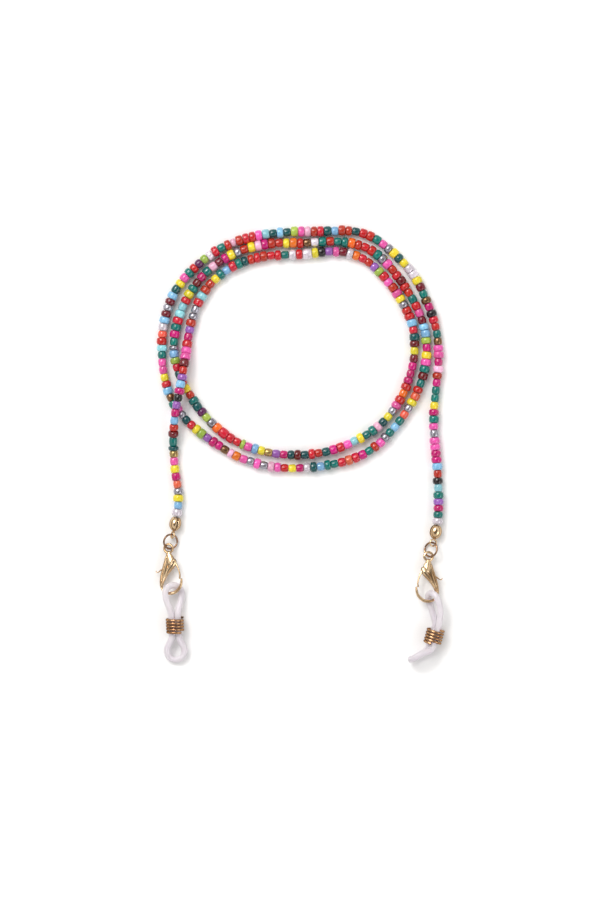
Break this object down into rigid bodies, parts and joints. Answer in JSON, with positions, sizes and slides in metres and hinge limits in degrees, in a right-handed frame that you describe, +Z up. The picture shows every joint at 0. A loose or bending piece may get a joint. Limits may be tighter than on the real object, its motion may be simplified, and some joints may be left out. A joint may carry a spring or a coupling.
{
  "type": "eyeglasses chain strap",
  "caption": "Strand of multicoloured glass seed beads lying in loose turns, with a gold lobster clasp and a coil-gripped silicone temple loop at each end.",
  "frame": {"origin": "middle of the footprint, on the surface the strap lies on", "axes": "+Z up; +Y the longer way across the strap as it lies, from the clasps towards the far turns; +X to the right when it is seen from above with the clasps nearest"},
  "size_m": [0.0866, 0.1311, 0.0063],
  "materials": {
    "thread": "thin smooth synthetic thread",
    "bead_red": "opaque glossy glass",
    "bead_coral": "opaque glossy glass",
    "bead_orange": "opaque glossy glass",
    "bead_teal": "opaque glossy glass",
    "bead_dark_teal": "opaque glossy glass",
    "bead_hot_pink": "opaque glossy glass",
    "bead_magenta": "opaque glossy glass",
    "bead_violet": "opaque glossy glass",
    "bead_purple": "opaque glossy glass",
    "bead_light_pink": "opaque glossy glass",
    "bead_pearl": "glossy glass with a pearl coat",
    "bead_sky_blue": "opaque glossy glass",
    "bead_aqua": "opaque glossy glass",
    "bead_yellow": "opaque glossy glass",
    "bead_lime": "opaque glossy glass",
    "bead_maroon": "opaque glossy glass",
    "bead_black": "opaque glossy glass",
    "bead_silver": "glossy glass with a metallic coat",
    "bead_gold": "glossy glass with a metallic coat",
    "bead_bronze": "glossy glass with a metallic coat",
    "gold_plate": "polished gold plate",
    "spring_steel": "plain spring steel",
    "silicone": "milky translucent silicone"
  },
  "bodies": {
    "strand": {"thread": "thread", "beads_red": "bead_red", "beads_coral": "bead_coral", "beads_orange": "bead_orange", "beads_teal": "bead_teal", "beads_dark_teal": "bead_dark_teal", "beads_hot_pink": "bead_hot_pink", "beads_magenta": "bead_magenta", "beads_violet": "bead_violet", "beads_purple": "bead_purple", "beads_light_pink": "bead_light_pink", "beads_pearl": "bead_pearl", "beads_sky_blue": "bead_sky_blue", "beads_aqua": "bead_aqua", "beads_yellow": "bead_yellow", "beads_lime": "bead_lime", "beads_maroon": "bead_maroon", "beads_black": "bead_black", "beads_silver": "bead_silver", "beads_gold": "bead_gold", "beads_bronze": "bead_bronze", "left_crimp": "gold_plate", "right_crimp": "gold_plate"},
    "left_tip": {"left_bead_tip": "gold_plate"},
    "left_ring": {"left_jump_ring": "gold_plate"},
    "left_clasp": {"left_clasp_body": "gold_plate", "left_clasp_pin": "gold_plate", "left_clasp_spring": "spring_steel"},
    "left_lever": {"left_clasp_lever": "gold_plate"},
    "left_loop": {"left_temple_loop": "silicone"},
    "left_coil": {"left_wire_coil": "gold_plate"},
    "right_tip": {"right_bead_tip": "gold_plate"},
    "right_ring": {"right_jump_ring": "gold_plate"},
    "right_clasp": {"right_clasp_body": "gold_plate", "right_clasp_pin": "gold_plate", "right_clasp_spring": "spring_steel"},
    "right_lever": {"right_clasp_lever": "gold_plate"},
    "right_loop": {"right_temple_loop": "silicone"},
    "right_coil": {"right_wire_coil": "gold_plate"}
  },
  "joints": [
    {"name": "left_tip_swivel", "type": "hinge", "parent": "strand", "child": "left_tip", "pos_m": [-0.0365, -0.02152, 0.00178], "axis": [-0.219, -0.9757, 0], "continuous": true},
    {"name": "left_ring_swing", "type": "hinge", "parent": "left_tip", "child": "left_ring", "pos_m": [-0.03772, -0.02698, 0.00178], "axis": [0.8843, -0.1985, -0.4226], "range_deg": [-60, 60]},
    {"name": "left_clasp_swing", "type": "hinge", "parent": "left_ring", "child": "left_clasp", "pos_m": [-0.03898, -0.03109, 0.00186], "axis": [0.2439, -0.0677, -0.9674], "range_deg": [-45, 45]},
    {"name": "left_lever_hinge", "type": "hinge", "parent": "left_clasp", "child": "left_lever", "pos_m": [-0.03766, -0.03512, 0.00247], "axis": [0.2439, -0.0677, -0.9674], "range_deg": [0, 22], "stiffness_Nm_per_rad": 0.002, "springref_deg": -22.92, "deforming": ["left_clasp_spring"]},
    {"name": "left_loop_swing", "type": "hinge", "parent": "left_clasp", "child": "left_loop", "pos_m": [-0.03816, -0.04143, 0.00279], "axis": [0.2439, -0.0677, -0.9674], "range_deg": [-25, 25]},
    {"name": "left_coil_slide", "type": "slide", "parent": "left_loop", "child": "left_coil", "axis": [0.0523, -0.9986, 0], "range_m": [-0.0006, 0.0006]},
    {"name": "right_tip_swivel", "type": "hinge", "parent": "strand", "child": "right_tip", "pos_m": [0.04152, -0.02392, 0.00178], "axis": [-0.2249, -0.9744, 0], "continuous": true},
    {"name": "right_ring_swing", "type": "hinge", "parent": "right_tip", "child": "right_ring", "pos_m": [0.04026, -0.02938, 0.00178], "axis": [0.3333, -0.0769, 0.9397], "range_deg": [-60, 60]},
    {"name": "right_clasp_swing", "type": "hinge", "parent": "right_ring", "child": "right_clasp", "pos_m": [0.03886, -0.03344, 0.00186], "axis": [0.1035, 0.0778, 0.9916], "range_deg": [-45, 45]},
    {"name": "right_lever_hinge", "type": "hinge", "parent": "right_clasp", "child": "right_lever", "pos_m": [0.03767, -0.03754, 0.0023], "axis": [0.1035, 0.0778, 0.9916], "range_deg": [0, 22], "stiffness_Nm_per_rad": 0.002, "springref_deg": -22.92, "deforming": ["right_clasp_spring"]},
    {"name": "right_loop_swing", "type": "hinge", "parent": "right_clasp", "child": "right_loop", "pos_m": [0.03846, -0.04381, 0.00271], "axis": [0.1035, 0.0778, 0.9916], "range_deg": [-25, 25]},
    {"name": "right_coil_slide", "type": "slide", "parent": "right_loop", "child": "right_coil", "axis": [-0.2672, -0.9636, 0], "range_m": [-0.0006, 0.0006]}
  ]
}
